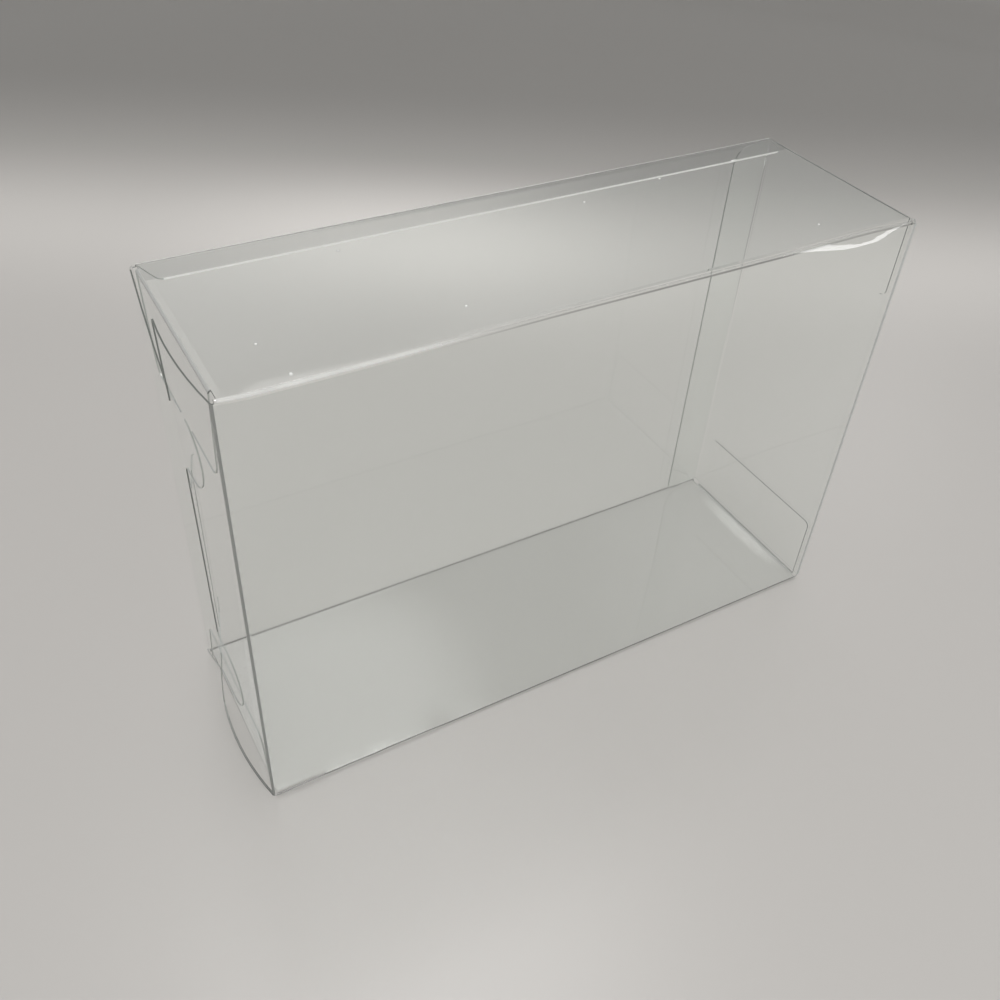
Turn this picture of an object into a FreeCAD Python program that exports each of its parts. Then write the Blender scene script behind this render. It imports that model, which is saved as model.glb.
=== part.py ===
import FreeCAD, Part
import math
import os

# A clear plastic box protector: one die-cut sheet folded into a four-panel sleeve with a glued
# lap, a tuck flap at the right end and an interlocking snap-lock at the left end.
# Millimetres, +Z up, front towards -Y, origin under the middle of the whole part.

# Sleeve
length = 250.0  # between the two end folds
depth = 77.7
height = 176.0
sheet = 0.5
crease_radius = 0.5  # inside radius of a fold
nest_gap = 0.4  # room between sheets that lie over one another

# Glued lap along the rear top edge
lap_width = 12.5
lap_end_taper = 3.8
lap_corner_radius = 3.0
top_panel_step = 1.2  # the top panel stops this far short of the rear face

# Dust flaps on the top and bottom panels, right end
dust_depth = 31.4
dust_front_inset = 2.7
dust_tongue_gap = 1.0  # from the tuck flap's tongue
dust_rear_taper = 2.0
dust_corner_radius = 2.5

# Side flaps on the top and bottom panels, left end
side_depth = 29.5
side_front_inset = 5.0
side_rear_inset = 4.0
side_rear_taper = 11.0
side_corner_radius = 5.0

# Tuck flap and its tongue, right end
tuck_end_inset = 1.7  # from the top and bottom faces of the box
tuck_clearance = 0.4  # from the tongue's fold to the rear panel
tongue_width = 20.5
tongue_corner_radius = 6.5
hinge_gap = 0.05  # from the hinge line to each of the two mitred edges at the crease

# Snap-lock flaps, left end
lock_end_inset = 1.0
rear_lock_reach = 38.0  # rear fold to the edge of the recess
rear_lock_bow = 1.6
horn_reach = 20.5  # past the edge of the recess
horn_height = 24.5
horn_top = 24.5  # below the top of the box
horn_radius = 12.0
horn_root = 5.0  # behind the edge of the recess, where the slanted side meets the horn
front_lock_bow_low = 4.0  # at the flap's bottom edge
front_lock_bow_high = 2.8  # at its top edge
tab_lead = 9.7  # from the crease where the tab dips to the edge of the recess
shoulder_overlap = 8.8  # past the edge of the recess
shoulder_root = 2.0  # from the tab's side to the foot of the shoulder
shoulder_corner_radius = 2.0
recess_corner_radius = 2.5
tab_play = 1.5  # between the tab and each horn
tab_overlap = 12.0  # the tab runs this far behind the edge of the recess
tab_taper = 2.0
tab_corner_radius = 6.0
tab_dip = 17.0  # degrees

# Places worked out from the sizes above
fold_radius = crease_radius + sheet
left_end = (front_lock_bow_low - length) / 2.0
right_end = left_end + length
front = -depth / 2.0
rear = depth / 2.0
middle = height / 2.0
nest = sheet + nest_gap
recess_edge = depth - rear_lock_reach
recess_half = middle - horn_top - horn_height
front_lock_crease = recess_edge - tab_lead
shoulder_reach = recess_edge + shoulder_overlap
tuck_reach = depth - sheet - tuck_clearance
tongue_curl = tongue_width / tuck_reach  # radians about the tuck flap's hinge
panel_setback = nest + fold_radius  # top and bottom panels stop here, where their flaps fold
beyond = 5.0  # a cutting prism runs this far past what it trims


def in_yz(u, v):
    return FreeCAD.Vector(0.0, u, v)


def in_xy(u, v):
    return FreeCAD.Vector(u, v, 0.0)


def in_xz(u, v):
    return FreeCAD.Vector(u, 0.0, v)


def from_front_fold(u, v):
    return FreeCAD.Vector(left_end - u, front + v, 0.0)


def from_rear_fold(u, v):
    return FreeCAD.Vector(left_end - u, rear - v, 0.0)


def from_tuck_fold(u, v):
    return FreeCAD.Vector(right_end - v, front + tuck_reach + u, 0.0)


# Closed outline through corners (u, v, radius), where a radius of 0 leaves the corner sharp.
def rounded_outline(corners, place):
    points = [FreeCAD.Vector(u, v, 0.0) for u, v, radius in corners]
    arcs = []
    for i, corner in enumerate(points):
        radius = corners[i][2]
        back = (points[i - 1] - corner).normalize()
        on = (points[(i + 1) % len(points)] - corner).normalize()
        half_angle = back.getAngle(on) / 2.0
        trim = radius / math.tan(half_angle)
        bisector = (back + on).normalize()
        crown = corner + bisector * (radius / math.sin(half_angle) - radius)
        arcs.append((corner + back * trim, crown, corner + on * trim, radius))
    edges = []
    for i, (entry, crown, leave, radius) in enumerate(arcs):
        if radius > 0.0:
            edges.append(Part.Arc(place(*entry[:2]), place(*crown[:2]), place(*leave[:2])).toShape())
        following = arcs[(i + 1) % len(arcs)][0]
        if leave.distanceToPoint(following) > 1e-6:
            edges.append(Part.makeLine(place(*leave[:2]), place(*following[:2])))
    return Part.Wire(edges)


def prism(corners, place, start, end):
    face = Part.Face(rounded_outline(corners, place))
    face.translate(start)
    return face.extrude(end - start)


# Prism along X, for what is outlined as seen from the box's end.
def end_prism(corners, low, high):
    shifted = [(front + y, z, radius) for y, z, radius in corners]
    return prism(shifted, in_yz, FreeCAD.Vector(low, 0.0, 0.0), FreeCAD.Vector(high, 0.0, 0.0))


def slab(low, high):
    size = [b - a for a, b in zip(low, high)]
    return Part.makeBox(*size, FreeCAD.Vector(*low))


def fused(shapes):
    whole = shapes[0].multiFuse(shapes[1:]).removeSplitter()
    assert len(whole.Solids) == 1
    return whole.Solids[0]


# Corners of a folded strip. The path is its outer face, and the sheet lies to the left of it.
def strip_corners(path):
    points = [FreeCAD.Vector(u, v, 0.0) for u, v in path]
    headings = [(b - a).normalize() for a, b in zip(points, points[1:])]
    lefts = [FreeCAD.Vector(-h.y, h.x, 0.0) for h in headings]
    outer = []
    inner = []
    for i, point in enumerate(points):
        sides = lefts[max(i - 1, 0) : i + 1]
        if len(sides) == 2:
            shift = (sides[0] + sides[1]) * (sheet / (1.0 + sides[0].dot(sides[1])))
        else:
            shift = sides[0] * sheet
        folded = 0 < i < len(points) - 1
        outer.append((point.x, point.y, fold_radius if folded else 0.0))
        inner.append((point.x + shift.x, point.y + shift.y, crease_radius if folded else 0.0))
    return outer + inner[::-1]


# Face of a flat panel that turns a rounded fold into an arched flap. The panel's outer face is v = 0
# and ends at the fold (0, 0); the flap's outer face is an arc through the fold about its centre,
# up to end_angle. skew slants the panel's free edge.
def arched_section(panel_start, skew, centre, end_angle, place):
    middle_u, middle_v = centre
    radius = math.hypot(middle_u, middle_v)
    fold_u = middle_u + math.sqrt((radius - fold_radius) ** 2 - (fold_radius - middle_v) ** 2)
    fold_angle = math.atan2(fold_radius - middle_v, fold_u - middle_u)
    half_fold = (fold_angle - math.pi / 2.0) / 2.0

    def on_flap(inset, angle):
        reach = radius - inset
        return place(middle_u + reach * math.cos(angle), middle_v + reach * math.sin(angle))

    def on_fold(inset, angle):
        reach = fold_radius - inset
        return place(fold_u + reach * math.cos(angle), fold_radius + reach * math.sin(angle))

    def side(inset, start):
        return [
            Part.makeLine(start, place(fold_u, inset)),
            Part.Arc(place(fold_u, inset), on_fold(inset, half_fold), on_flap(inset, fold_angle)).toShape(),
            Part.Arc(
                on_flap(inset, fold_angle),
                on_flap(inset, (fold_angle + end_angle) / 2.0),
                on_flap(inset, end_angle),
            ).toShape(),
        ]

    outer_start = place(panel_start, 0.0)
    inner_start = place(panel_start + skew, sheet)
    edges = side(0.0, outer_start) + side(sheet, inner_start)
    edges.append(Part.makeLine(outer_start, inner_start))
    edges.append(Part.makeLine(on_flap(0.0, end_angle), on_flap(sheet, end_angle)))
    return Part.Face(Part.Wire(Part.__sortEdges__(edges)))


# Centre of a flap's arc that bows out by bow at a distance of crown from its fold.
def bow_centre(bow, crown):
    radius = (crown**2 + bow**2) / (2.0 * bow)
    return (bow - radius, crown)


# How far such a flap stands out at a distance from its fold.
def bow_rise(bow, crown, distance):
    radius = (crown**2 + bow**2) / (2.0 * bow)
    return bow - radius + math.sqrt(radius**2 - (distance - crown) ** 2)


def raised(face, low, high):
    face.translate(FreeCAD.Vector(0.0, 0.0, low))
    return face.extrude(FreeCAD.Vector(0.0, 0.0, high - low))


def make_sleeve():
    path = [
        (rear - top_panel_step, height),
        (front, height),
        (front, 0.0),
        (rear, 0.0),
        (rear, height - sheet - fold_radius),
    ]
    start = FreeCAD.Vector(left_end + fold_radius, 0.0, 0.0)
    end = FreeCAD.Vector(right_end - fold_radius, 0.0, 0.0)
    sleeve = prism(strip_corners(path), in_yz, start, end)
    for low, high in ((left_end, left_end + panel_setback), (right_end - panel_setback, right_end)):
        for floor, ceiling in ((0.0, sheet), (height - sheet, height)):
            corner = (low, front + fold_radius, floor)
            sleeve = sleeve.cut(slab(corner, (high, rear - fold_radius, ceiling)))
    return sleeve


# The lap folds in from the rear panel and is bonded under the top panel.
def make_lap():
    lap_top = height - sheet
    path = [(rear, lap_top - 2.0 * fold_radius), (rear, lap_top), (rear - lap_width, lap_top)]
    low = left_end + panel_setback
    high = right_end - panel_setback
    strip = prism(strip_corners(path), in_yz, FreeCAD.Vector(low, 0.0, 0.0), FreeCAD.Vector(high, 0.0, 0.0))
    fold_line = rear - fold_radius
    plan = [
        (low, rear, 0.0),
        (low, fold_line, 0.0),
        (low + lap_end_taper, rear - lap_width, lap_corner_radius),
        (high - lap_end_taper, rear - lap_width, lap_corner_radius),
        (high, fold_line, 0.0),
        (high, rear, 0.0),
    ]
    bottom = FreeCAD.Vector(0.0, 0.0, lap_top - beyond)
    return strip.common(prism(plan, in_xy, bottom, FreeCAD.Vector(0.0, 0.0, height)))


# A flat flap folded down from the top panel, mirrored for the bottom one. side is -1 at the left,
# and spread is how far the free edge stands out from the fold.
def make_end_flap(side, spread, flap_depth, front_inset, rear_reach, rear_taper, corner_radius):
    end = left_end if side < 0 else right_end
    fold = end - side * nest
    panel = (end - side * panel_setback, height)
    tip = (fold + side * spread, height - flap_depth)
    path = [panel, (fold, height), tip] if side > 0 else [tip, (fold, height), panel]
    corners = strip_corners(path[::-1])
    strip = prism(corners, in_xz, FreeCAD.Vector(0.0, front, 0.0), FreeCAD.Vector(0.0, rear, 0.0))
    outline = [
        (front_inset, height, 0.0),
        (front_inset, height - flap_depth, corner_radius),
        (rear_reach - rear_taper, height - flap_depth, corner_radius),
        (rear_reach, height, 0.0),
    ]
    upper = strip.common(end_prism(outline, end - beyond, end + beyond))
    lower = upper.mirror(FreeCAD.Vector(0.0, 0.0, middle), FreeCAD.Vector(0.0, 0.0, 1.0))
    return [upper, lower]


# Outline seen from the end, given for its upper half from one fold to the middle of the free edge.
def mirrored_outline(upper):
    lower = [(y, height - z, radius) for y, z, radius in reversed(upper)]
    return upper + lower


# The rear lock flap: slanted sides, a recess in its free edge and a horn at each end of the recess.
def make_rear_lock():
    centre = bow_centre(rear_lock_bow, rear_lock_reach)
    radius = math.hypot(*centre)
    end_angle = math.asin((horn_reach + beyond) / radius)
    section = arched_section(-fold_radius, 0.0, centre, end_angle, from_rear_fold)
    horn_tip = recess_edge - horn_reach
    horn_floor = height - horn_top - horn_height
    outline = mirrored_outline(
        [
            (depth, height - lock_end_inset, 0.0),
            (recess_edge + horn_root, height - horn_top, recess_corner_radius),
            (horn_tip, height - horn_top, horn_radius),
            (horn_tip, horn_floor, horn_radius),
            (recess_edge, horn_floor, recess_corner_radius),
        ]
    )
    flap = raised(section, lock_end_inset, height - lock_end_inset)
    return flap.common(end_prism(outline, left_end - beyond, left_end + beyond))


def front_lock_bow(z):
    share = (z - lock_end_inset) / (height - 2.0 * lock_end_inset)
    return front_lock_bow_low + share * (front_lock_bow_high - front_lock_bow_low)


# Outline, at height z, of the front lock flap's arched sheet.
def front_lock_section(z):
    centre = bow_centre(front_lock_bow(z), front_lock_crease)
    end_angle = math.asin((shoulder_reach + beyond - front_lock_crease) / math.hypot(*centre))
    face = arched_section(-fold_radius, 0.0, centre, end_angle, from_front_fold)
    face.translate(FreeCAD.Vector(0.0, 0.0, z))
    return face.OuterWire


# Outline, at height z, of the tab that leaves the arch at its crown and dips inward.
def tab_section(z, rise):
    dip = math.radians(tab_dip)
    crown = from_front_fold(front_lock_bow(z), front_lock_crease) + FreeCAD.Vector(0.0, 0.0, z)
    tip = crown + FreeCAD.Vector(rise * math.tan(dip), rise, 0.0)
    inward = FreeCAD.Vector(math.cos(dip), -math.sin(dip), 0.0) * sheet
    return Part.makePolygon([crown, tip, tip + inward, crown + inward, crown])


# The front lock flap: two shoulders lie over the horns, and a tab between them dips into the recess.
# It bows out further at the bottom than at the top.
def make_front_lock():
    low = lock_end_inset
    high = height - lock_end_inset
    tab_half = recess_half - tab_play
    outline = mirrored_outline(
        [
            (0.0, high, 0.0),
            (shoulder_reach, high, shoulder_corner_radius),
            (front_lock_crease, middle + tab_half + shoulder_root, 0.0),
        ]
    )
    arch = Part.makeLoft([front_lock_section(low), front_lock_section(high)], True, True)
    flap = arch.common(end_prism(outline, left_end - beyond, left_end + beyond))

    rise = recess_edge + tab_overlap - front_lock_crease
    tab_ends = (middle - tab_half, middle + tab_half)
    tab = Part.makeLoft([tab_section(z, rise) for z in tab_ends], True, True)
    tab_tip = front_lock_crease + rise - sheet * math.sin(math.radians(tab_dip))
    tab_outline = mirrored_outline(
        [
            (front_lock_crease - sheet, middle + tab_half, 0.0),
            (front_lock_crease, middle + tab_half, 0.0),
            (tab_tip, middle + tab_half - tab_taper, tab_corner_radius),
        ]
    )
    tab = tab.common(end_prism(tab_outline, left_end - beyond, left_end + rise))
    return [flap, tab]


# Plain panel edges at the right end: a mitred one at the tuck flap's crease, and the rear panel's.
def make_right_edges():
    low = right_end - fold_radius
    high = right_end - hinge_gap
    mitre = [(low, front, 0.0), (high, front, 0.0), (high - sheet, front + sheet, 0.0), (low, front + sheet, 0.0)]
    bottom = FreeCAD.Vector(0.0, 0.0, tuck_end_inset)
    top = FreeCAD.Vector(0.0, 0.0, height - tuck_end_inset)
    front_edge = prism(mitre, in_xy, bottom, top)
    rear_top = height - sheet - tuck_end_inset
    rear_edge = slab((low, rear - sheet, tuck_end_inset), (right_end - sheet, rear, rear_top))
    return [front_edge, rear_edge]


# The tuck flap turns on the front right edge. Its tongue curls round that edge, so that it swings
# out past the rear panel.
def make_tuck_flap():
    centre = (-tuck_reach, 0.0)
    section = arched_section(hinge_gap - tuck_reach, sheet, centre, tongue_curl, from_tuck_fold)
    flap = raised(section, tuck_end_inset, height - tuck_end_inset)
    tongue_tip = right_end - tuck_reach * math.sin(tongue_curl)
    outline = [
        (right_end, tuck_end_inset, 0.0),
        (right_end, height - tuck_end_inset, 0.0),
        (tongue_tip, height - tuck_end_inset, tongue_corner_radius),
        (tongue_tip, tuck_end_inset, tongue_corner_radius),
    ]
    before = FreeCAD.Vector(0.0, front - beyond, 0.0)
    return flap.common(prism(outline, in_xz, before, FreeCAD.Vector(0.0, rear, 0.0)))


# The dust flaps stop clear of the tongue's swing.
dust_reach = tuck_reach * math.cos(tongue_curl) - sheet - dust_tongue_gap
dust_flaps = make_end_flap(
    1, 0.0, dust_depth, dust_front_inset, dust_reach, dust_rear_taper, dust_corner_radius
)

# The side flaps fold further in than the rear lock flap, and spring out as far as it does.
rear_corner = side_rear_inset + side_rear_taper
side_spread = bow_rise(rear_lock_bow, rear_lock_reach, rear_corner)
side_reach = depth - side_rear_inset
side_flaps = make_end_flap(
    -1, side_spread, side_depth, side_front_inset, side_reach, side_rear_taper, side_corner_radius
)

folded_sheet = fused(
    [make_sleeve(), make_lap(), make_rear_lock()]
    + make_front_lock()
    + make_right_edges()
    + dust_flaps
    + side_flaps
)
tuck_flap = fused([make_tuck_flap()])

os.makedirs("parts", exist_ok=True)
folded_sheet.exportStep("parts/folded_sheet.step")
tuck_flap.exportStep("parts/tuck_flap.step")
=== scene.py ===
import math
import bmesh
import bpy
from mathutils import Euler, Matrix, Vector, noise
from mathutils.bvhtree import BVHTree


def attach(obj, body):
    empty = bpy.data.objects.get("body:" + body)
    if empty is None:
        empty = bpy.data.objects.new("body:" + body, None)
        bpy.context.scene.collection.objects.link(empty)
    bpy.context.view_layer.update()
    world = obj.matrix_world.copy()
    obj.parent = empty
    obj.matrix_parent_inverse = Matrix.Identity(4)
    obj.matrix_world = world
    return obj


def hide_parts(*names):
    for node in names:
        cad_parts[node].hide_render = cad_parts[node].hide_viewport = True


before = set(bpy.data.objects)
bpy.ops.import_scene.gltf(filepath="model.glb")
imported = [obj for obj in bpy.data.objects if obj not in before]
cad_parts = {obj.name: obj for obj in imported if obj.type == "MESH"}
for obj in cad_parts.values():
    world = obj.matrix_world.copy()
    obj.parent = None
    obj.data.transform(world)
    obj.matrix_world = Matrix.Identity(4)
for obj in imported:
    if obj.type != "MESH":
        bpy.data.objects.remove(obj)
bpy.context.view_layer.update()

scene = bpy.context.scene
scene.view_settings.view_transform = "Standard"
scene.cycles.max_bounces = 18  # a look through the box meets up to ten faces of sheet
scene.cycles.transmission_bounces = 18
scene.cycles.transparent_max_bounces = 18
scene.cycles.diffuse_bounces = 2


class Wire:  # a socket that can stand in a sum
    def __init__(self, finish, socket):
        self.finish, self.socket = finish, socket

    def maths(self, operation, *values):
        return self.finish.node("ShaderNodeMath", {"operation": operation}, dict(enumerate(values)))

    def __add__(self, other):
        return self.maths("ADD", self, other)

    def __sub__(self, other):
        return self.maths("SUBTRACT", self, other)

    def __rsub__(self, other):
        return self.maths("SUBTRACT", other, self)

    def __mul__(self, other):
        return self.maths("MULTIPLY", self, other)

    def __pow__(self, other):
        return self.maths("POWER", self, other)

    __radd__ = __add__
    __rmul__ = __mul__

    def atLeast(self, other):
        return self.maths("MAXIMUM", self, other)

    def size(self):
        return self.maths("ABSOLUTE", self)


class Nodes:  # a node tree, with one way to add to it
    def __init__(self, owner):
        owner.use_nodes = True
        self.owner, self.tree = owner, owner.node_tree
        self.tree.nodes.clear()

    def node(self, kind, settings, sockets, out=0):
        made = self.tree.nodes.new(kind)
        for key, value in settings.items():
            setattr(made, key, value)
        for key, value in sockets.items():
            if isinstance(value, Wire):
                self.tree.links.new(value.socket, made.inputs[key])
            else:
                made.inputs[key].default_value = value
        return Wire(self, made.outputs[out]) if made.outputs else made

    def between(self, value, low, high):  # soft step from 0 at low to 1 at high
        return self.node("ShaderNodeMapRange", {"interpolation_type": "SMOOTHSTEP"},
                         {"Value": value, "From Min": low, "From Max": high})

    def surface(self, shader):
        self.node("ShaderNodeOutputMaterial", {}, {"Surface": shader})
        return self.owner


# the sheet's own sizes, in metres
sheetSize = {
    "left": -0.123, "right": 0.127, "front": -0.03885, "rear": 0.03885, "top": 0.176,
    "thick": 0.0005, "lapEdge": 0.02635, "topStep": 0.0012, "bond": 0.0005,
    "restsFrom": -0.102,  # the front bottom fold shows from here on
}

# how the springy panels stand away from flat
springLook = {
    "bow": 0.0004,  # in the middle of a panel
    "ripple": 0.00007, "rippleSize": 0.045,
    "dentFrom": 0.05, "dentDeepest": 0.106, "dentTo": 0.1255, "dentDrop": 0.0068,
    "dentLean": 0.19, "dentCrease": 0.0022, "dentReach": 0.02,
    "curlTo": -0.01, "curlWidth": 0.009, "curlDrop": 0.0008, "curlHigh": 0.02, "curlStart": 0.01,
    "liftTo": -0.045, "lift": 0.0006, "liftReach": 0.02,
    "settle": 0.0005, "settleWidth": 0.012, "settleReach": 0.1,
}


def softStep(t):
    t = min(max(t, 0.0), 1.0)
    return t * t * (3 - 2 * t)


def hump(t):  # 0 at both ends, 1 in the middle
    return math.sin(math.pi * min(max(t, 0.0), 1.0))


def springOffset(p, size, look):
    along = (p.x - size["left"]) / (size["right"] - size["left"])
    deep = (p.y - size["front"]) / (size["rear"] - size["front"])
    up = p.z / size["top"]
    wall = 2.4 * size["thick"]
    onFront, onRear = p.y < size["front"] + wall, p.y > size["rear"] - wall
    onTop, onBottom = p.z > size["top"] - 4.4 * size["thick"], p.z < wall
    wave = noise.noise(p / look["rippleSize"]) * look["ripple"]
    move = Vector()
    if onFront or onRear:
        away = (look["bow"] + 2.2 * wave) * hump(along) ** 0.5 * hump(up) ** 0.5
        move.y += away if onFront else -away
    if onTop or onBottom:
        away = (look["bow"] + 2.2 * wave) * hump(along) ** 0.5 * hump(deep) ** 0.7
        move.z += -away if onTop else 0.6 * away

    # the front panel leans in under its top fold, near the right end
    if look["dentFrom"] < p.x < look["dentTo"]:
        half = "dentFrom" if p.x < look["dentDeepest"] else "dentTo"
        drop = look["dentDrop"] * softStep((p.x - look[half]) / (look["dentDeepest"] - look[half])) ** 0.8
        above = max(0.0, min(p.z, size["top"]) - size["top"] + drop)
        crease = look["dentCrease"]
        lean = look["dentLean"] * (above ** 2 / (2 * crease) if above < crease else above - crease / 2)
        move.y += lean * (1 - softStep((p.y - size["front"] - wall) / look["dentReach"]))

    # the top panel curls down to its front fold, at the left end
    if p.x < look["curlTo"]:
        fall = look["curlDrop"] * softStep((look["curlTo"] - p.x) / (look["curlTo"] - size["left"]) * 1.4)
        near = max(0.0, 1 - (p.y - size["front"]) / look["curlWidth"]) ** 2
        high = softStep((p.z - size["top"] + look["curlHigh"]) / look["curlHigh"])
        high *= softStep((p.x - size["left"]) / look["curlStart"])
        move.z -= fall * near * high

    # the bottom fold lifts off a little in front, at the left end
    if p.x < look["liftTo"]:
        share = hump((p.x - size["left"]) / (look["liftTo"] - size["left"]))
        rise = look["lift"] * share * (0.75 + 0.9 * noise.noise(Vector((p.x * 90, 3.1, 0.0))))
        forward = 1 - softStep((p.y - size["front"]) / look["liftReach"])
        near = forward * (1 - softStep(p.z / look["liftReach"]))
        move.z += max(0.0, rise) * near

    # the bottom panel falls to its right fold
    if onBottom:
        inward = size["right"] - p.x
        share = softStep(inward / look["settleWidth"]) * (1 - softStep(inward / look["settleReach"]))
        move.z += look["settle"] * share * hump(deep) ** 0.4
    return move


zoneNames = (
    "panel", "fold", "foot", "hinge", "cut", "lockCut", "bond", "corner", "faint", "lap", "base", "end",
)
zones = {name: k for k, name in enumerate(zoneNames)}


# edges of the snap-lock that catch no light, as y and z
lockLook = {
    "rearSlant": ((0.0382, 0.1748), (0.0065, 0.1523)),
    "shoulder": ((0.0086, 0.1726), (-0.0088, 0.1278)),
    "frontTop": ((-0.0383, 0.1753), (0.0067, 0.1753)),
    "recess": ((0.00085, 0.1248), (0.00085, 0.0515)),
}
lockReach = 0.0006  # a face this near to one of them is part of it
lockStrips = [
    # a fine painted dark line, painted shade, on the outside of the front flap
    {"zone": "cut", "facing": -1,
     "wide": (-0.13, -0.1252), "deep": (-0.0153, -0.0144), "high": (0.070, 0.137)},
    # painted shade along the foot of the front flap, outside and inside
    {"zone": "lockCut", "facing": -1,
     "wide": (-0.13, -0.1226), "deep": (-0.0385, 0.0090), "high": (0.0005, 0.0020)},
    {"zone": "lockCut", "facing": 1,
     "wide": (-0.13, -0.1226), "deep": (-0.0385, 0.0090), "high": (0.0005, 0.0020)},
    # the shoulder's lower edge, which hardly shows
    {"zone": "faint", "facing": 0,
     "wide": (-0.13, -0.1215), "deep": (-0.0095, 0.0005), "high": (0.1275, 0.1518)},
    # the inside of the top side flap, beside its fold
    {"zone": "faint", "facing": 1,
     "wide": (-0.1219, -0.1213), "deep": (-0.0386, 0.0386), "high": (0.1735, 0.1756)},
]


def lockEdge(p, look):
    spot = Vector((p.y, p.z))
    for name in look:
        start, end = (Vector(v) for v in look[name])
        share = min(max((spot - start).dot(end - start) / (end - start).length_squared, 0.0), 1.0)
        if (spot - start.lerp(end, share)).length < lockReach:
            return "lockCut"
    return "cut"


# marks the part of the left end's flaps that lies between two depths and two heights
def markStrip(work, strip):
    low, high = strip["wide"]
    rows = [f for f in work.faces if all(low < v.co.x < high for v in f.verts)]
    cuts = rows + list({e for f in rows for e in f.edges}) + list({v for f in rows for v in f.verts})
    for axis, places in ((1, strip["deep"]), (2, strip["high"])):
        for place in places:
            cuts = cutAcross(work, cuts, axis, place)
    for face in work.faces:
        p = face.calc_center_median()
        inside = strip["deep"][0] < p.y < strip["deep"][1] and strip["high"][0] < p.z < strip["high"][1]
        side = round(face.normal.x) == strip["facing"]
        if inside and low < p.x < high and side:
            face.material_index = zones[strip["zone"]]


def cutAcross(work, cuts, axis, place):
    point, normal = [0.0] * 3, [0.0] * 3
    point[axis], normal[axis] = place, 1.0
    return bmesh.ops.bisect_plane(work, geom=cuts, dist=1e-6, plane_co=point, plane_no=normal)["geom"]


# how near to a fold, an end or an edge a face is part of it
zoneReach = {
    "foot": 0.003, "topFold": 0.0015, "rightFold": 0.0017, "leftFold": 0.002, "leftUpright": 0.0012,
    "edge": 1e-4, "lock": 0.003, "tab": 0.006, "tabHalf": 0.03,
    "dust": 0.004, "dustTop": 0.002, "upperDustEdge": 0.007, "lowerDustEdge": 0.025, "upperDust": 0.1,
    "bend": 0.003, "slim": 0.001,
}


def foldZone(p, size, reach):
    atLeft = p.x < size["left"] + reach["leftFold"]
    atRight = p.x > size["right"] - reach["rightFold"]
    if p.z < reach["foot"]:
        if atRight:
            return "hinge"
        return "faint" if atLeft or p.y < 0 and p.x < size["restsFrom"] else "foot"
    upright = p.z < size["top"] - reach["topFold"]
    if upright and (p.x < size["left"] + reach["leftUpright"] or p.y > 0):
        return "corner" if p.y < 0 else "faint"
    if atLeft:
        return "hinge"
    return "corner" if atRight else "fold"


def cutZone(p, size, reach):
    onLap = abs(p.y - size["lapEdge"]) < reach["edge"] and p.z > size["top"] - reach["topFold"]
    onTopEdge = abs(p.y - size["rear"] + size["topStep"]) < reach["edge"] and p.z > size["top"] - size["thick"]
    if onLap or onTopEdge:
        return "bond"
    return lockEdge(p, lockLook) if p.x < size["left"] + reach["lock"] else "cut"


# the dust flaps behind the tuck flap hardly show, apart from their near cut edges, which get painted shade
def dustZone(zone, p, normal, size, reach):
    far = p.y > (size["front"] + reach["upperDustEdge"] if p.z > reach["upperDust"] else reach["lowerDustEdge"])
    if zone == "panel" and abs(normal.x) > 0.9 or zone == "cut" and far:
        return "faint"
    return "lockCut" if zone == "cut" else zone


# a face looks through the sheet's thickness, or along the sheet where it is a cut edge
def markZones(work, size, reach, hasFlaps):
    work.normal_update()
    tree = BVHTree.FromBMesh(work)
    for face in work.faces:
        middle, normal = face.calc_center_median(), face.normal
        across = tree.ray_cast(middle - normal * 1e-6, -normal)[3]
        slim = 2 * face.calc_area() / max(e.calc_length() for e in face.edges)
        turns = [e.calc_face_angle(0.0) for e in face.edges]
        turn = sum(a for a in turns if a < math.radians(60))
        bent = turn > math.radians(2) and slim / turn < reach["bend"]  # by its radius
        narrow = slim < reach["slim"]
        atRight = middle.x > size["right"] - reach["rightFold"]
        atHinge = atRight and middle.y < size["front"] + reach["rightFold"]
        inTab = middle.x < size["left"] + reach["tab"] and abs(middle.y) < reach["tabHalf"]
        zone = "panel"
        if atHinge and (bent or narrow):
            zone = "hinge"
        elif across is None or across > 2.5 * size["thick"]:
            zone = cutZone(middle, size, reach)
        elif bent and narrow and max(abs(v) for v in normal) < 0.99:
            zone = foldZone(middle, size, reach)
        elif middle.z < size["thick"] + reach["edge"]:
            zone = "base"
        elif hasFlaps and middle.x < size["left"] + reach["leftFold"] and abs(normal.x) > 0.7:
            zone = "end" if abs(normal.y) < 0.2 else "faint"
        elif hasFlaps and inTab and abs(normal.z) < 0.5:
            zone = "faint"
        inDust = reach["dust"] < middle.z < size["top"] - reach["dustTop"]
        if hasFlaps and inDust and middle.x > size["right"] - reach["dust"]:
            zone = dustZone(zone, middle, normal, size, reach)
        face.material_index = zones[zone]


def cutPlaces(low, high, step, close=()):
    count = round((high - low) / step)
    return sorted({round(low + (high - low) * k / count, 5) for k in range(1, count)} | set(close))


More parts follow.
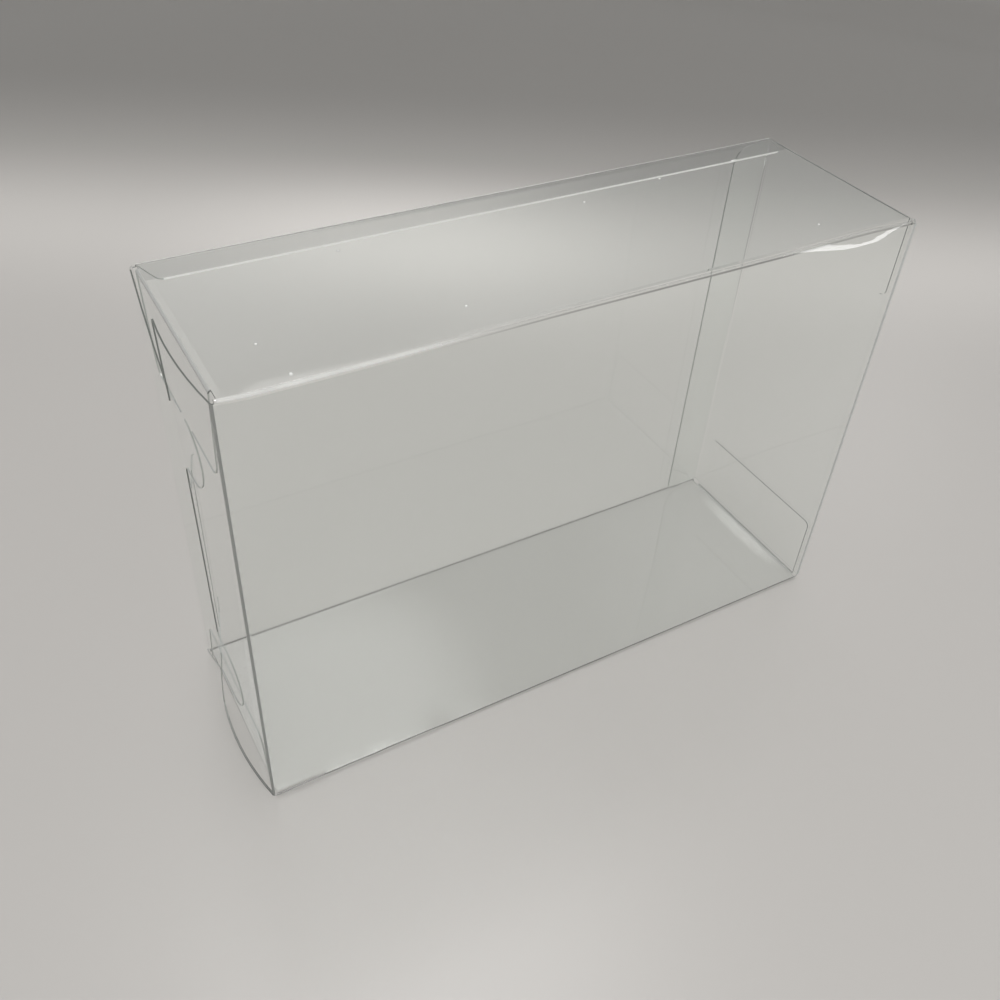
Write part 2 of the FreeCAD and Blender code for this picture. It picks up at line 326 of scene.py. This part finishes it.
def springPanels(work, size, look):
    near = [0.0012, 0.0018, 0.0026, 0.0038]  # closer cuts beside the folds
    fromLeft = [round(size["left"] + v, 5) for v in near]
    fromRight = [round(size["right"] - v, 5) for v in (0.0028, 0.0072)]
    fromFront = [round(size["front"] + v, 5) for v in near + [0.0055, 0.0075]]
    fromTop = [round(size["top"] - v, 5) for v in near + [0.0048, 0.006, 0.007]]
    places = (
        cutPlaces(size["left"], size["right"], 0.005, fromLeft + fromRight),
        cutPlaces(size["front"], size["rear"], 0.0045, fromFront + [size["lapEdge"] + size["bond"]]),
        cutPlaces(0.0, size["top"], 0.005, near + fromTop),
    )
    panels = [f for f in work.faces if max(v.co.x for v in f.verts) > size["left"] + 0.0021]
    cuts = panels + list({e for f in panels for e in f.edges}) + list({v for f in panels for v in f.verts})
    for axis in range(3):
        for place in places[axis]:
            cuts = cutAcross(work, cuts, axis, place)
    bmesh.ops.dissolve_degenerate(work, edges=work.edges[:], dist=1e-6)
    for face in work.faces:
        p, n = face.calc_center_median(), face.normal
        if face.material_index not in (zones["panel"], zones["base"]):
            continue
        besideFold = p.y < size["front"] + near[2] or p.x < size["left"] + near[3]
        hidden = (
            p.x < size["restsFrom"] and p.y + p.z < size["front"] + near[2],  # front bottom fold
            n.z < -0.9 and p.z > 0.17 and besideFold,  # under the top panel
            n.y > 0.9 and p.y > size["rear"] - 0.0004 and p.x < size["left"] + near[0],  # outside, rear left
            n.y > 0.9 and p.y < 0 and p.z > size["top"] - near[1],  # inside, front top
        )
        if p.z > size["top"] - 0.0015 and p.y > size["lapEdge"]:
            face.material_index = zones["bond" if p.y < size["lapEdge"] + size["bond"] else "lap"]
        elif any(hidden):
            face.material_index = zones["faint"]
    for vert in work.verts:
        vert.co += springOffset(vert.co, size, look)


# shading runs on over an edge between two faces of one zone that hardly turn
def markSharp(work):
    work.normal_update()
    soft = {zones[name]: 40 for name in ("fold", "foot", "hinge", "corner", "faint")}
    for rim in work.edges:
        kinds = {face.material_index for face in rim.link_faces}
        turn = math.radians(soft.get(min(kinds), 8))
        rim.smooth = len(kinds) == 1 and rim.calc_face_angle(0.0) < turn
    for face in work.faces:
        face.smooth = True


def springPiece(nodeName, body, size, look, finishes):
    work = bmesh.new()
    work.from_mesh(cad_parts[nodeName].data)
    bmesh.ops.remove_doubles(work, verts=work.verts, dist=1e-6)
    markZones(work, size, zoneReach, nodeName == "folded_sheet")
    if look:
        for strip in lockStrips:
            markStrip(work, strip)
        springPanels(work, size, look)
    markSharp(work)
    mesh = bpy.data.meshes.new("spring_" + nodeName)
    work.to_mesh(mesh)
    work.free()
    for finish in finishes:
        mesh.materials.append(finish)
    piece = bpy.data.objects.new("spring_" + nodeName, mesh)
    scene.collection.objects.link(piece)
    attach(piece, body)
    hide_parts(nodeName)
    counts = [0] * len(finishes)
    for face in mesh.polygons:
        counts[face.material_index] += 1
    print(nodeName, "made,", len(mesh.polygons), "faces,", dict(zip(zones, counts)))
    return piece


dustLook = {"spacing": 32.0, "from": 0.009, "to": 0.022, "rarer": 0.6, "above": 0.1745, "fade": 0.0005}
# where the painted highlight lies on the front top and rear folds
paintedHighlightLook = {
    "start": -0.1222, "full": -0.085, "none": -0.025, "behind": -0.03, "share": 0.45,
    "rear": 0.0372, "rearShare": 0.3, "patches": 90.0,
}


def dustSpecks(paint, spot):  # a few, on the top panel
    cell = {"Vector": spot, "Scale": dustLook["spacing"]}
    away = paint.node("ShaderNodeTexVoronoi", {"voronoi_dimensions": "2D"}, cell, "Distance")
    pick = paint.node("ShaderNodeTexVoronoi", {"voronoi_dimensions": "2D"}, cell, "Color")
    chance = paint.node("ShaderNodeSeparateColor", {}, {"Color": pick}, "Red")
    height = paint.node("ShaderNodeSeparateXYZ", {}, {"Vector": spot}, "Z")
    speck = 1 - paint.between(away, dustLook["from"], dustLook["to"])
    onTop = paint.between(height, dustLook["above"], dustLook["above"] + dustLook["fade"])
    return speck * onTop * paint.between(chance, dustLook["rarer"], dustLook["rarer"] + 0.01)


def paintedFoldHighlight(paint, spot):  # painted highlight: the front top fold is painted white at its left end, and the rear one a little
    along = paint.node("ShaderNodeSeparateXYZ", {}, {"Vector": spot}, "X")
    deep = paint.node("ShaderNodeSeparateXYZ", {}, {"Vector": spot}, "Y")
    patches = paint.node("ShaderNodeTexNoise", {},
                         {"Vector": spot, "Scale": paintedHighlightLook["patches"], "Detail": 1.0})
    begun = paint.between(along, paintedHighlightLook["start"], paintedHighlightLook["start"] + 0.0015)
    forward = 1 - paint.between(deep, paintedHighlightLook["behind"], paintedHighlightLook["behind"] + 0.002)
    fading = 1 - paint.between(along, paintedHighlightLook["full"], paintedHighlightLook["none"])
    inFront = begun * forward * fading * paintedHighlightLook["share"]
    inRear = paint.between(deep, paintedHighlightLook["rear"], paintedHighlightLook["rear"] + 0.0003) * paintedHighlightLook["rearShare"]
    return (inFront + inRear) * (0.6 + 0.8 * patches)


# tintAndShade is the sheet's own faint tint on the panels, and painted shade where it is darker on folds, cut
# edges and the bottom panel
clearLooks = {
    "panel": {"tintAndShade": (0.985, 0.998, 0.990, 1.0), "polish": 0.015, "haze": 0.02, "white": dustSpecks,
              "shadow": (0.985, 0.988, 0.985, 1.0)},
    # fold: a slightly darker tint, painted shade on the fold line, with a painted highlight mixed in
    "fold": {"tintAndShade": (0.95, 0.96, 0.95, 1.0), "polish": 0.03, "haze": 0.06, "cover": 0.3, "white": paintedFoldHighlight,
             "shadow": (0.86, 0.87, 0.86, 1.0)},
    # foot: dark tint, painted shade along the bottom folds where they meet the floor
    "foot": {"tintAndShade": (0.55, 0.56, 0.55, 1.0), "polish": 0.1, "haze": 0.1, "gloss": 0.15,
             "shadow": (0.55, 0.56, 0.55, 1.0)},
    # hinge: grey tint, painted shade on the folds at the ends
    "hinge": {"tintAndShade": (0.56, 0.57, 0.56, 1.0), "clear": 0.3, "polish": 0.3, "haze": 0.1,
              "shadow": (0.9, 0.9, 0.9, 1.0)},
    # cut: dark tint, painted shade on the cut edges
    "cut": {"tintAndShade": (0.40, 0.42, 0.40, 1.0), "clear": 0.35, "polish": 0.25, "haze": 0.1, "gloss": 0.2,
            "shadow": (0.75, 0.76, 0.75, 1.0)},
    # lockCut: darker still, painted shade on the snap-lock's edges, the dust flaps' near edges and the strips
    # on the front flap
    "lockCut": {"tintAndShade": (0.17, 0.18, 0.17, 1.0), "clear": 0.1, "polish": 0.4, "haze": 0.1, "gloss": 0.0,
                "shadow": (0.75, 0.76, 0.75, 1.0)},
    "bond": {"tintAndShade": (0.97, 0.97, 0.95, 1.0), "clear": 0.05, "polish": 0.5, "haze": 0.2,
             "shadow": (0.9, 0.9, 0.9, 1.0)},
    # corner: dark tint, painted shade on the front left upright fold and the right top fold
    "corner": {"tintAndShade": (0.32, 0.33, 0.32, 1.0), "clear": 0.45, "polish": 0.3, "haze": 0.1,
               "shadow": (0.8, 0.8, 0.8, 1.0)},
    "faint": {"tintAndShade": (0.985, 0.998, 0.990, 1.0), "polish": 0.015, "haze": 0.02, "cover": 0.06, "bends": 1.02,
              "shadow": (0.90, 0.903, 0.90, 1.0)},
    "lap": {"tintAndShade": (0.83, 0.84, 0.833, 1.0), "polish": 0.02, "haze": 0.04,
            "shadow": (0.95, 0.953, 0.95, 1.0)},
    # base: a little darker than the panels, painted shade over the bottom panel
    "base": {"tintAndShade": (0.955, 0.966, 0.958, 1.0), "polish": 0.015, "haze": 0.03,
             "shadow": (0.94, 0.943, 0.94, 1.0)},
    "end": {"tintAndShade": (0.985, 0.998, 0.990, 1.0), "polish": 0.015, "haze": 0.02,
            "aslant": 0.05, "slantFrom": 0.35, "slantTo": 0.6, "shadow": (0.92, 0.923, 0.92, 1.0)},
}


def clearFinish(name, look):
    paint = Nodes(bpy.data.materials.new(name))
    spot = paint.node("ShaderNodeTexCoord", {}, {}, "Object")
    smear = paint.node("ShaderNodeTexNoise", {}, {"Vector": spot, "Scale": 60.0, "Detail": 2.0})
    cover = look.get("cover", 1.0)
    if "aslant" in look:  # hardly seen when looked along
        facing = paint.node("ShaderNodeLayerWeight", {}, {"Blend": 0.5}, "Facing")
        cover = 1 - (1 - look["aslant"]) * paint.between(facing, look["slantFrom"], look["slantTo"])
    skin = paint.node("ShaderNodeBsdfPrincipled", {}, {
        "Base Color": look["tintAndShade"],
        "Roughness": look["polish"] + look["haze"] * smear,
        "IOR": look.get("bends", 1.57),
        "Specular IOR Level": look.get("gloss", 0.5),
        "Transmission Weight": look.get("clear", 1.0),
        "Alpha": cover,
    })
    if "white" in look:
        # white dust specks on the top panel, and a painted highlight on the folds
        dustAndHighlight = paint.node("ShaderNodeBsdfPrincipled", {}, {
            "Base Color": (0.86, 0.86, 0.84, 1.0), "Roughness": 0.8, "Specular IOR Level": 0.2})
        skin = paint.node("ShaderNodeMixShader", {}, {0: look["white"](paint, spot), 1: skin, 2: dustAndHighlight})
    lit = paint.node("ShaderNodeLightPath", {}, {}, "Is Shadow Ray")
    soft = paint.node("ShaderNodeLightPath", {}, {}, "Is Diffuse Ray")
    through = paint.node("ShaderNodeBsdfTransparent", {}, {"Color": look["shadow"]})
    return paint.surface(paint.node("ShaderNodeMixShader", {}, {0: lit.atLeast(soft), 1: skin, 2: through}))


finishes = [clearFinish(name, clearLooks[name]) for name in zones]
sheetPiece = springPiece("folded_sheet", "sleeve", sheetSize, springLook, finishes)
flapPiece = springPiece("tuck_flap", "flap", sheetSize, None, finishes)

stageLook = {
    "drop": -0.0003,  # the floor lies this far under the box's lowest face
    "flat": 0.95, "bend": 0.35, "wall": 0.02, "steps": 96, "flatRings": 6, "bendRings": 16, "polish": 0.26,
    "floorColour": (0.58, 0.563, 0.541, 1.0), "wallShade": (0.314, 0.307, 0.295, 1.0),
    "fadeTowards": (0.5, 0.866, 0.0), "fadeFrom": 0.31, "fadeTo": 0.62,
    # painted light: a paler band where the paper starts to rise
    "paleFrom": 0.10, "paleFull": 0.335, "paleEnd": 0.345, "paleTo": 0.48, "pale": 0.255, "paleMiddle": 0.42,
    # painted light: the floor grows brighter towards the far side, and the band is strongest across the middle
    "rise": 0.06, "riseFrom": -0.1, "riseTo": 0.2,
    "across": (0.866, -0.5, 0.0), "middle": -0.055, "middleReach": 0.22,
}


def makeStage(look):
    profile = [(look["flat"] * k / look["flatRings"], 0.0) for k in range(1, look["flatRings"] + 1)]
    for k in range(1, look["bendRings"] + 1):
        a = math.pi / 2 * k / look["bendRings"]
        profile.append((look["flat"] + look["bend"] * math.sin(a), look["bend"] * (1 - math.cos(a))))
    profile.append((look["flat"] + look["bend"], look["bend"] + look["wall"]))
    work = bmesh.new()
    ribs = [[work.verts.new((r * math.cos(t), r * math.sin(t), z + look["drop"])) for r, z in profile]
            for t in [2 * math.pi * k / look["steps"] for k in range(look["steps"])]]
    centre = work.verts.new((0, 0, look["drop"]))
    for k, rib in enumerate(ribs):
        after = ribs[(k + 1) % len(ribs)]
        work.faces.new((centre, rib[0], after[0]))
        for j in range(len(rib) - 1):
            work.faces.new((rib[j], rib[j + 1], after[j + 1], after[j]))
    mesh = bpy.data.meshes.new("studioSweep")
    work.to_mesh(mesh)
    work.free()
    mesh.shade_smooth()
    sweep = bpy.data.objects.new("studioSweep", mesh)
    scene.collection.objects.link(sweep)
    paint = Nodes(bpy.data.materials.new("studioSweep"))
    spot = paint.node("ShaderNodeTexCoord", {}, {}, "Object")
    dot = {"operation": "DOT_PRODUCT"}
    far = paint.node("ShaderNodeVectorMath", dot, {0: spot, 1: look["fadeTowards"]}, "Value")
    side = paint.node("ShaderNodeVectorMath", dot, {0: spot, 1: look["across"]}, "Value")
    # painted shade: the floor darkens into the wall's shade tone towards the far side
    fade = paint.between(far, look["fadeFrom"], look["fadeTo"])
    tone = paint.node("ShaderNodeMix", {"data_type": "RGBA"},
                      {0: fade, 6: look["floorColour"], 7: look["wallShade"]}, 2)
    # painted light: a pale band across the floor
    paintedLightBand = paint.between(far, look["paleFrom"], look["paleFull"]) ** 3
    paintedLightBand = paintedLightBand * (1 - paint.between(far, look["paleEnd"], look["paleTo"]))
    central = 1 - paint.between((side - look["middle"]).size(), 0.0, look["middleReach"])
    lift = 1 + look["rise"] * paint.between(far, look["riseFrom"], look["riseTo"])
    lift = lift + paintedLightBand * (look["pale"] + look["paleMiddle"] * central)
    tone = paint.node("ShaderNodeVectorMath", {"operation": "SCALE"}, {0: tone, "Scale": lift})
    sweep.data.materials.append(paint.surface(paint.node("ShaderNodeBsdfPrincipled", {}, {
        "Base Color": tone, "Roughness": look["polish"], "Specular IOR Level": 0.5})))


airLook = {
    "ambient": 0.43, "colour": (1.0, 0.99, 0.98, 1.0),
    # azimuth from the rear towards the right, elevation, full width, faded width, strength
    "glows": {
        "overhead": (27, 66, 4, 14, 4.6),
        "leftRear": (18, 53, 4, 10, 1.1),
        "rightRear": (52, 40, 3, 12, 0.3),
        "rearLow": (12, 26, 3, 12, 0.1),
        "rightLow": (54.5, 33.5, 2, 5.5, 1.3),
        "rightDim": (50, 23, 4, 20, -0.13),
    },
}


def heading(azimuth, elevation):
    a, e = math.radians(azimuth), math.radians(elevation)
    return (math.sin(a) * math.cos(e), math.cos(a) * math.cos(e), math.sin(e))


def makeAir(look):
    scene.world = bpy.data.worlds.new("studioAir")
    air = Nodes(scene.world)
    way = air.node("ShaderNodeTexCoord", {}, {}, "Generated")
    glow = None
    for azimuth, elevation, full, faded, strength in look["glows"].values():
        facing = air.node("ShaderNodeVectorMath", {"operation": "DOT_PRODUCT"},
                          {0: way, 1: heading(azimuth, elevation)}, "Value")
        patch = strength * air.between(facing, math.cos(math.radians(faded)), math.cos(math.radians(full)))
        glow = patch if glow is None else glow + patch
    seen = air.node("ShaderNodeLightPath", {}, {}, "Is Camera Ray")
    strength = look["ambient"] + glow * (1 - seen)
    back = air.node("ShaderNodeBackground", {}, {"Color": look["colour"], "Strength": strength})
    air.node("ShaderNodeOutputWorld", {}, {"Surface": back})


lampLook = {
    "softBox": {"place": (-0.35, -1.05, 1.05), "aim": (0, 0, 0), "size": (1.2, 1.2), "power": 11.0},
    # for the glint under the front top fold
    "glintStrip": {"place": (0.47, -0.375, 0.045), "aim": (0.1, -0.04, 0.12),
                   "size": (0.34, 0.04), "power": 0.2},
}


def makeLamp(name, place, aim, size, power):
    lamp = bpy.data.lights.new(name, "AREA")
    lamp.shape, lamp.size, lamp.size_y, lamp.energy = "RECTANGLE", *size, power
    holder = bpy.data.objects.new(name, lamp)
    holder.location = place
    holder.rotation_euler = (Vector(aim) - Vector(place)).to_track_quat("-Z", "Y").to_euler()
    holder.visible_camera = holder.visible_transmission = False
    scene.collection.objects.link(holder)
    return holder


makeStage(stageLook)
makeAir(airLook)
softBox = makeLamp("softBox", **lampLook["softBox"])
softBox.visible_glossy = False
glintStrip = makeLamp("glintStrip", **lampLook["glintStrip"])
glintStrip.visible_diffuse = False
boxOnly = bpy.data.collections.new("boxOnly")
boxOnly.objects.link(sheetPiece)
boxOnly.objects.link(flapPiece)
glintStrip.light_linking.receiver_collection = boxOnly
print("stage and light up")

viewpoint = {
    "place": (-0.17096, -0.25588, 0.33318),
    "turn": (48.776, -2.899, -29.429),
    "lens": 37.555,
}
camera = bpy.data.objects.new("photoCamera", bpy.data.cameras.new("photoCamera"))
camera.data.lens = viewpoint["lens"]
camera.data.sensor_width = 36.0
camera.data.clip_start = 0.01
camera.location = viewpoint["place"]
camera.rotation_euler = Euler([math.radians(v) for v in viewpoint["turn"]])
scene.collection.objects.link(camera)
scene.camera = camera
print("camera set")
